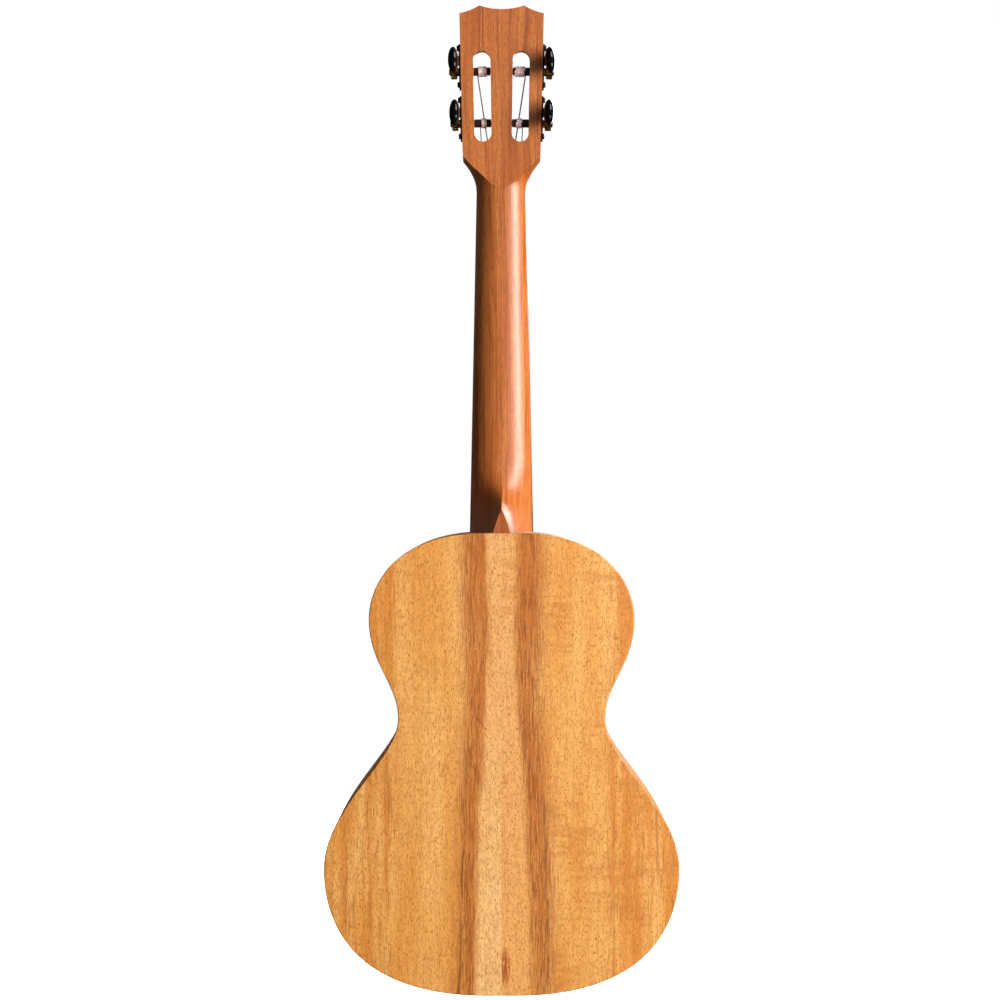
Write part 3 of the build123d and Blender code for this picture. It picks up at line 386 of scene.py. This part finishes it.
rosette = Finish("rosette_inlay", roughness=0.4, lacquer=0.3, lacquer_roughness=0.25)
ring_low, ring_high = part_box("rosette")
ring_middle = (Vector(ring_low) + Vector(ring_high)) / 2
ring_outer = (ring_high[0] - ring_low[0]) / 2
ring_width = 0.0055
level = rosette.maths("SUBTRACT", rosette.z, ring_middle[2])
radius = rosette.maths("SQRT", rosette.maths("ADD", rosette.maths("MULTIPLY", rosette.x, rosette.x),
                                             rosette.maths("MULTIPLY", level, level)))
inward = rosette.maths("SUBTRACT", ring_outer, radius)
angle = rosette.maths("ARCTAN2", level, rosette.x)
grain = rosette.noise((0.0007, 1.0, 0.35), at=rosette.joined(radius, 0.0, angle), detail=3.0)
surface = rosette.blend(rosette.step(grain, 0.35, 0.65), paint(62, 38, 28), paint(30, 18, 14))
for middle, half in ((0.0005, 0.00022), (ring_width - 0.0005, 0.00022), (ring_width / 2, 0.00016)):
    off = rosette.maths("ABSOLUTE", rosette.maths("SUBTRACT", inward, middle))
    surface = rosette.blend(rosette.step(off, half + 0.00012, half), surface, paint(226, 196, 148))
rosette.colour(surface)
rosette.roughness(grain, 0.34, 0.46)
rosette.relief(grain, 0.00003)
rosette.put_on("rosette")


# --- Neck --------------------------------------------------------------------------------
# One piece of mahogany from the headstock to the heel, shaped by spokeshave and rasp,
# sanded smooth and sprayed satin. Long ribbon streaks and short open pores run along it.

mahogany = Finish("mahogany_neck", roughness=0.36, lacquer=0.55, lacquer_roughness=0.35)
wander = mahogany.noise((0.02, 0.05, 0.08), detail=2.0)
rings = mahogany.joined(mahogany.maths("MULTIPLY_ADD", wander, 0.006, mahogany.x), mahogany.y,
                        mahogany.z)
ribbons = mahogany.noise((0.0060, 0.05, 0.20), at=rings, detail=3.0, shift=3.0)
surface = mahogany.blend(mahogany.step(ribbons, 0.34, 0.66), paint(212, 127, 62),
                         paint(184, 95, 36))
narrow = mahogany.noise((0.0013, 0.02, 0.07), at=rings, detail=4.0, shift=6.0)
surface = mahogany.blend(mahogany.step(narrow, 0.50, 0.66, 0.72), surface, paint(146, 70, 24))
fibres = mahogany.noise((0.0004, 0.0010, 0.010), at=rings, detail=2.0, shift=9.0)
surface = mahogany.blend(mahogany.step(fibres, 0.38, 0.66, 0.42), surface, paint(150, 74, 28))
pores = mahogany.noise((0.00034, 0.0006, 0.0062), at=rings, detail=1.0, shift=12.0)
pores = mahogany.step(pores, 0.56, 0.68)
surface = mahogany.blend(mahogany.maths("MULTIPLY", pores, 0.60), surface, paint(110, 48, 14))
# a dark growth line runs up the headstock to one of its peaks
growth = mahogany.noise((0.01, 0.01, 0.03), detail=1.0)
growth = mahogany.maths("MULTIPLY_ADD", growth, 0.0012, 0.0124)
growth = mahogany.maths("ABSOLUTE", mahogany.maths("SUBTRACT", mahogany.x, growth))
growth = mahogany.maths("MULTIPLY", mahogany.step(growth, 0.0008, 0.0002),
                        mahogany.step(mahogany.z, 0.086, 0.098, 0.55))
mahogany.colour(mahogany.blend(growth, surface, paint(112, 52, 28)))
mahogany.roughness(fibres, 0.30, 0.44)
raised = mahogany.maths("MULTIPLY", fibres, 0.4)
mahogany.relief(mahogany.maths("MULTIPLY_ADD", pores, -1.0, raised), 0.00002)
mahogany.put_on("neck")
bare_wood("dowel_birch", paint(214, 178, 128), paint(176, 134, 86), 1).put_on("neck_dowels")


# --- Headstock veneer --------------------------------------------------------------------
# A 1.5 mm sheet of the body's acacia, glued to the front of the headstock and trimmed to
# its outline and slots.

no_band = [(0.0, 0.05), (1.0, 0.05)]
wood, surface, across, down = acacia_half("acacia_veneer", 0, no_band, no_band,
                                          paint(236, 176, 104), 73.0, 0.0, 0.7)
wood.colour(surface)
wood.put_on("headstock_veneer")


# --- Fretboard ---------------------------------------------------------------------------
# A dark, dense board glued to the neck and the soundboard, oiled and not lacquered. Its
# frets are nickel-silver wire pressed into sawn slots, and its dots are pearl and plastic.

def dark_board(name, along, seed):
    """Oiled dark hardwood, chocolate with nearly black veins, fine open pores."""
    def drawn(width, length):
        size = [width] * 3
        size[along] = length
        return size
    wood = Finish(name, roughness=0.5)
    veins = wood.noise(drawn(0.0035, 0.10), detail=4.0, shift=seed)
    surface = wood.blend(wood.step(veins, 0.36, 0.66), paint(84, 54, 40), paint(44, 27, 21))
    pores = wood.step(wood.noise(drawn(0.0004, 0.0040), detail=1.0, shift=seed + 3), 0.57, 0.68)
    hairs = wood.noise(drawn(0.0003, 0.012), detail=2.0, shift=seed + 6)
    surface = wood.blend(wood.step(hairs, 0.4, 0.7, 0.4), surface, paint(104, 68, 48))
    wood.colour(wood.blend(wood.maths("MULTIPLY", pores, 0.7), surface, paint(22, 13, 11)))
    wood.roughness(hairs, 0.40, 0.56)
    wood.relief(wood.maths("MULTIPLY", pores, -1.0), 0.00006)
    return wood


dark_board("dark_fretboard", 2, 1.0).put_on("fretboard")

nickel = Finish("nickel_silver", metal=1.0)
rubbed = nickel.noise((0.02, 0.0003, 0.0003), detail=3.0)
tarnish = nickel.noise((0.006, 0.006, 0.002), detail=3.0, shift=3.0)
nickel.colour(nickel.blend(nickel.step(tarnish, 0.4, 0.7), paint(206, 203, 194),
                           paint(176, 170, 156)))
nickel.roughness(rubbed, 0.16, 0.38)
nickel.relief(rubbed, 0.00001)
nickel.put_on("frets")

pearl = Finish("pearl_dots", roughness=0.22, lacquer=0.5, lacquer_roughness=0.08)
folds = pearl.noise((0.0024, 0.0024, 0.0011), detail=3.0, warp=1.2)
surface = pearl.blend(pearl.step(folds, 0.35, 0.6), paint(236, 238, 228), paint(196, 214, 214))
pearl.colour(pearl.blend(pearl.step(folds, 0.55, 0.75, 0.6), surface, paint(232, 206, 206)))
pearl.roughness(folds, 0.14, 0.32)
pearl.put_on("fret_markers")

dots = Finish("white_dots", roughness=0.35)
specks = dots.noise((0.0005, 0.0005, 0.0005), detail=2.0)
dots.colour(dots.blend(specks, paint(236, 233, 224), paint(222, 217, 205)))
dots.roughness(specks, 0.3, 0.42)
dots.put_on("side_dots")


# --- Nut and saddle ----------------------------------------------------------------------
# Bleached bone, sawn, filed to shape and polished. The nut is glued between the fretboard
# and the headstock, and the saddle stands loose in the bridge's slot.

bone = Finish("bone", roughness=0.32, lacquer=0.2, lacquer_roughness=0.15)
cloud = bone.noise((0.006, 0.004, 0.004), detail=3.0)
canals = bone.noise((0.0026, 0.0003, 0.0003), detail=2.0, shift=4.0)
surface = bone.blend(bone.step(cloud, 0.35, 0.7), paint(238, 231, 211), paint(224, 213, 184))
bone.colour(bone.blend(bone.step(canals, 0.60, 0.72, 0.5), surface, paint(190, 172, 138)))
bone.roughness(canals, 0.24, 0.42)
bone.relief(canals, 0.00002)
bone.shader.inputs["Subsurface Weight"].default_value = 0.12
bone.shader.inputs["Subsurface Scale"].default_value = 0.002
bone.put_on("nut", "saddle")


# --- Bridge ------------------------------------------------------------------------------
# A tie bridge of the fretboard's dark wood, glued to the soundboard. Its strings lie in
# drilled holes behind the saddle and end in knots.

dark_board("dark_bridge", 0, 14.0).put_on("bridge")


# --- Tuning machines ---------------------------------------------------------------------
# Four open geared machines, one a string, on the headstock's edges. Blackened steel plates
# and worm shafts, brass gears, black rollers through the slots and moulded black buttons.

keys = ("g", "c", "e", "a")


def for_keys(stem):
    return [stem + key for key in keys]


plate = Finish("black_plate", roughness=0.34, metal=0.85)
wear = plate.noise((0.0022, 0.0022, 0.0022), detail=4.0)
brushed = plate.noise((0.0002, 0.0002, 0.004), detail=2.0, shift=5.0)
plate.colour(plate.blend(plate.step(wear, 0.55, 0.75, 0.7), paint(42, 39, 38), paint(78, 66, 56)))
plate.roughness(brushed, 0.26, 0.46)
plate.relief(brushed, 0.00001)
plate.put_on(*for_keys("tuner_plate_"))

steel = Finish("black_steel", metal=0.9)
wear = steel.noise((0.0012, 0.0012, 0.0012), detail=3.0)
steel.colour(steel.blend(steel.step(wear, 0.5, 0.7), paint(58, 54, 52), paint(100, 88, 74)))
steel.roughness(wear, 0.22, 0.42)
steel.relief(wear, 0.00001)
steel.put_on("tuner_screws", *for_keys("worm_shaft_"), *for_keys("gear_screw_"))

brass = Finish("gear_brass", metal=1.0)
tarnish = brass.noise((0.0018, 0.0018, 0.0018), detail=4.0)
brass.colour(brass.blend(brass.step(tarnish, 0.36, 0.68), paint(206, 164, 88), paint(132, 94, 42)))
brass.roughness(tarnish, 0.24, 0.46)
brass.relief(tarnish, 0.00002)
brass.put_on(*for_keys("gear_"))

roller = Finish("roller_black", roughness=0.3, lacquer=0.2)
scuffs = roller.noise((0.0015, 0.0004, 0.0004), detail=3.0)
roller.colour(roller.blend(roller.step(scuffs, 0.5, 0.75, 0.7), paint(34, 25, 23),
                           paint(74, 54, 48)))
roller.roughness(scuffs, 0.22, 0.42)
roller.relief(scuffs, 0.00001)
roller.put_on(*for_keys("roller_"))

button = Finish("button_black", roughness=0.1)
button.shader.inputs["Specular IOR Level"].default_value = 0.3
haze = button.noise((0.004, 0.004, 0.004), detail=3.0)
button.colour(button.blend(haze, paint(7, 7, 8), paint(14, 13, 14)))
button.roughness(haze, 0.06, 0.18)
button.relief(button.noise((0.003, 0.003, 0.003), detail=1.0, shift=6.0), 0.00002)
button.put_on(*for_keys("button_"))


# --- Strings -----------------------------------------------------------------------------
# Four clear fluorocarbon strings, knotted behind the bridge. Each ends in close turns
# wound on its roller, which turn with it.

def string_finish(name, core, skin, low, high):
    string = Finish(name, lacquer=0.3, lacquer_roughness=0.1)
    cloud = string.noise((0.0012, 0.0012, 0.0012), detail=2.0)
    string.colour(string.blend(string.step(cloud, 0.35, 0.65), core, skin))
    string.roughness(cloud, low, high)
    string.relief(cloud, 0.00001)
    return string


string_finish("string_clear", paint(84, 80, 79), paint(112, 106, 104), 0.2, 0.34).put_on(
    *for_keys("string_"))
wound = string_finish("string_turns", paint(226, 204, 204), paint(244, 228, 226), 0.2, 0.36)

roller_radius = 0.0028
winding_start = {"g": -0.01310, "c": -0.01162, "e": -0.01157, "a": -0.01308}
winding_turns = {"g": 6, "c": 8, "e": 8, "a": 6}
string_width = {"g": 0.00074, "c": 0.00094, "e": 0.00084, "a": 0.00071}
steps_each_turn = 28


def roller_frame(key):
    """Where a roller's machine stands, with its own x outward along the roller."""
    joint = next(j for j in frame["joints"] if j["name"] == "post_" + key)
    return Vector(joint["pos_m"]), Vector(joint["axis"]).normalized()


def wind(key):
    """The turns of one string: a round section screwed along the roller, with closed ends."""
    width, turns = string_width[key], winding_turns[key]
    bpy.ops.object.select_all(action="DESELECT")
    bpy.ops.mesh.primitive_circle_add(vertices=12, radius=width / 2 * 0.995, fill_type="NOTHING",
                                      location=(roller_radius + width / 2, 0, 0),
                                      rotation=(math.pi / 2, 0, 0))
    turn = bpy.context.object
    turn.name = "string_turns_" + key
    bpy.ops.object.transform_apply(location=True, rotation=True, scale=True)
    screw = turn.modifiers.new("turns", "SCREW")
    screw.axis = "Z"
    screw.angle = 2 * math.pi * (turns - 1)
    screw.screw_offset = width * (turns - 1)
    screw.steps = screw.render_steps = steps_each_turn * (turns - 1)
    bpy.ops.object.modifier_apply(modifier=screw.name)
    bpy.ops.object.mode_set(mode="EDIT")
    bpy.ops.mesh.select_all(action="DESELECT")
    bpy.ops.mesh.select_non_manifold()
    bpy.ops.mesh.fill_holes(sides=16)
    bpy.ops.mesh.select_all(action="SELECT")
    bpy.ops.mesh.normals_make_consistent(inside=False)
    bpy.ops.object.mode_set(mode="OBJECT")
    bpy.ops.object.shade_smooth_by_angle(angle=math.radians(50))
    return turn


for key in keys:
    turns = wind(key)
    centre, outward = roller_frame(key)
    first = centre + outward * (winding_start[key] - string_width[key] / 2)
    facing = (-outward).to_track_quat("Z", "Y").to_matrix().to_4x4()
    turns.matrix_world = Matrix.Translation(first) @ facing
    bpy.ops.object.select_all(action="DESELECT")
    turns.select_set(True)
    bpy.context.view_layer.objects.active = turns
    bpy.ops.object.transform_apply(location=True, rotation=True, scale=True)
    turns.data.materials.append(wound.material)
    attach(turns, "string_post_" + key)
    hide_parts("string_winding_" + key)


# --- Studio ------------------------------------------------------------------------------
# A plain pale floor well below the hung instrument, a tall soft strip on one side and a
# narrower one that only shows as a gleam. Weak fills light the back, the front and one side.

bpy.ops.object.select_all(action="DESELECT")
floor_level = -0.86
bpy.ops.mesh.primitive_plane_add(size=7.0, location=(0.0, 0.0, floor_level))
floor = bpy.context.object
floor.name = "studio_floor"
paper = Finish("pale_paper", roughness=0.9)
mottle = paper.noise((0.6, 0.6, 0.6), detail=2.0)
paper.colour(paper.blend(mottle, paint(236, 236, 234), paint(228, 228, 226)))
paper.shader.inputs["Emission Color"].default_value = (1.0, 1.0, 1.0, 1.0)
paper.shader.inputs["Emission Strength"].default_value = 0.95
floor.data.materials.append(paper.material)
floor.visible_diffuse = False
floor.visible_glossy = False

aim = Vector((0.0, 0.03, -0.25))


def lamp(name, place, width, height, power, tint=(1.0, 1.0, 1.0), gleam=True, spread=True):
    """A soft lamp aimed at the instrument. gleam shows it in gloss, spread lets it light wood."""
    light = bpy.data.lights.new(name, "AREA")
    light.shape = "RECTANGLE"
    light.size, light.size_y = width, height
    light.energy = power
    light.color = tint
    stand = bpy.data.objects.new(name, light)
    bpy.context.scene.collection.objects.link(stand)
    stand.location = place
    stand.rotation_euler = (aim - Vector(place)).to_track_quat("-Z", "Y").to_euler()
    stand.visible_camera = False
    stand.visible_glossy = gleam
    stand.visible_diffuse = spread


strip_distance = 2.2


def strip_place(angle, height):
    """Where a strip stands on the -x side, at an angle in degrees from straight behind."""
    angle = math.radians(angle)
    return (-strip_distance * math.sin(angle), aim[1] + strip_distance * math.cos(angle), height)


lamp("key_strip", strip_place(57, 0.24), 1.25, 2.0, 108.0, (1.0, 0.965, 0.93), gleam=False)
lamp("soft_fill", (-0.5, 2.6, 0.1), 1.6, 1.6, 9.5, gleam=False)
lamp("gleam_strip", strip_place(45, 0.1), 0.9, 2.4, 92.0, (1.0, 0.96, 0.94), spread=False)
lamp("front_key", (-0.9, -2.1, 0.8), 1.2, 1.2, 46.0)
lamp("front_fill", (0.25, -2.6, 0.1), 1.2, 1.2, 26.0, gleam=False)
lamp("side_fill", (2.1, -1.7, 0.0), 1.2, 1.6, 12.0, gleam=False)

world = bpy.data.worlds.new("white_studio")
world.use_nodes = True
sky = world.node_tree
ground = sky.nodes["Background"]
seen = sky.nodes.new("ShaderNodeBackground")
for backdrop, strength in ((ground, 0.03), (seen, 1.0)):
    backdrop.inputs["Color"].default_value = (1.0, 1.0, 1.0, 1.0)
    backdrop.inputs["Strength"].default_value = strength
path = sky.nodes.new("ShaderNodeLightPath")
choice = sky.nodes.new("ShaderNodeMixShader")
sky.links.new(path.outputs["Is Camera Ray"], choice.inputs[0])
sky.links.new(ground.outputs[0], choice.inputs[1])
sky.links.new(seen.outputs[0], choice.inputs[2])
sky.links.new(choice.outputs[0], sky.nodes["World Output"].inputs["Surface"])
bpy.context.scene.world = world
bpy.context.scene.view_settings.view_transform = "Standard"

camera_data = bpy.data.cameras.new("camera")
camera_data.lens = 64.9
camera_data.sensor_width = 36.0
camera = bpy.data.objects.new("camera", camera_data)
bpy.context.scene.collection.objects.link(camera)
camera.location = (0.0011, 1.266, -0.2176)
camera.rotation_euler = (math.pi / 2, 0.0, math.pi)
bpy.context.scene.camera = camera
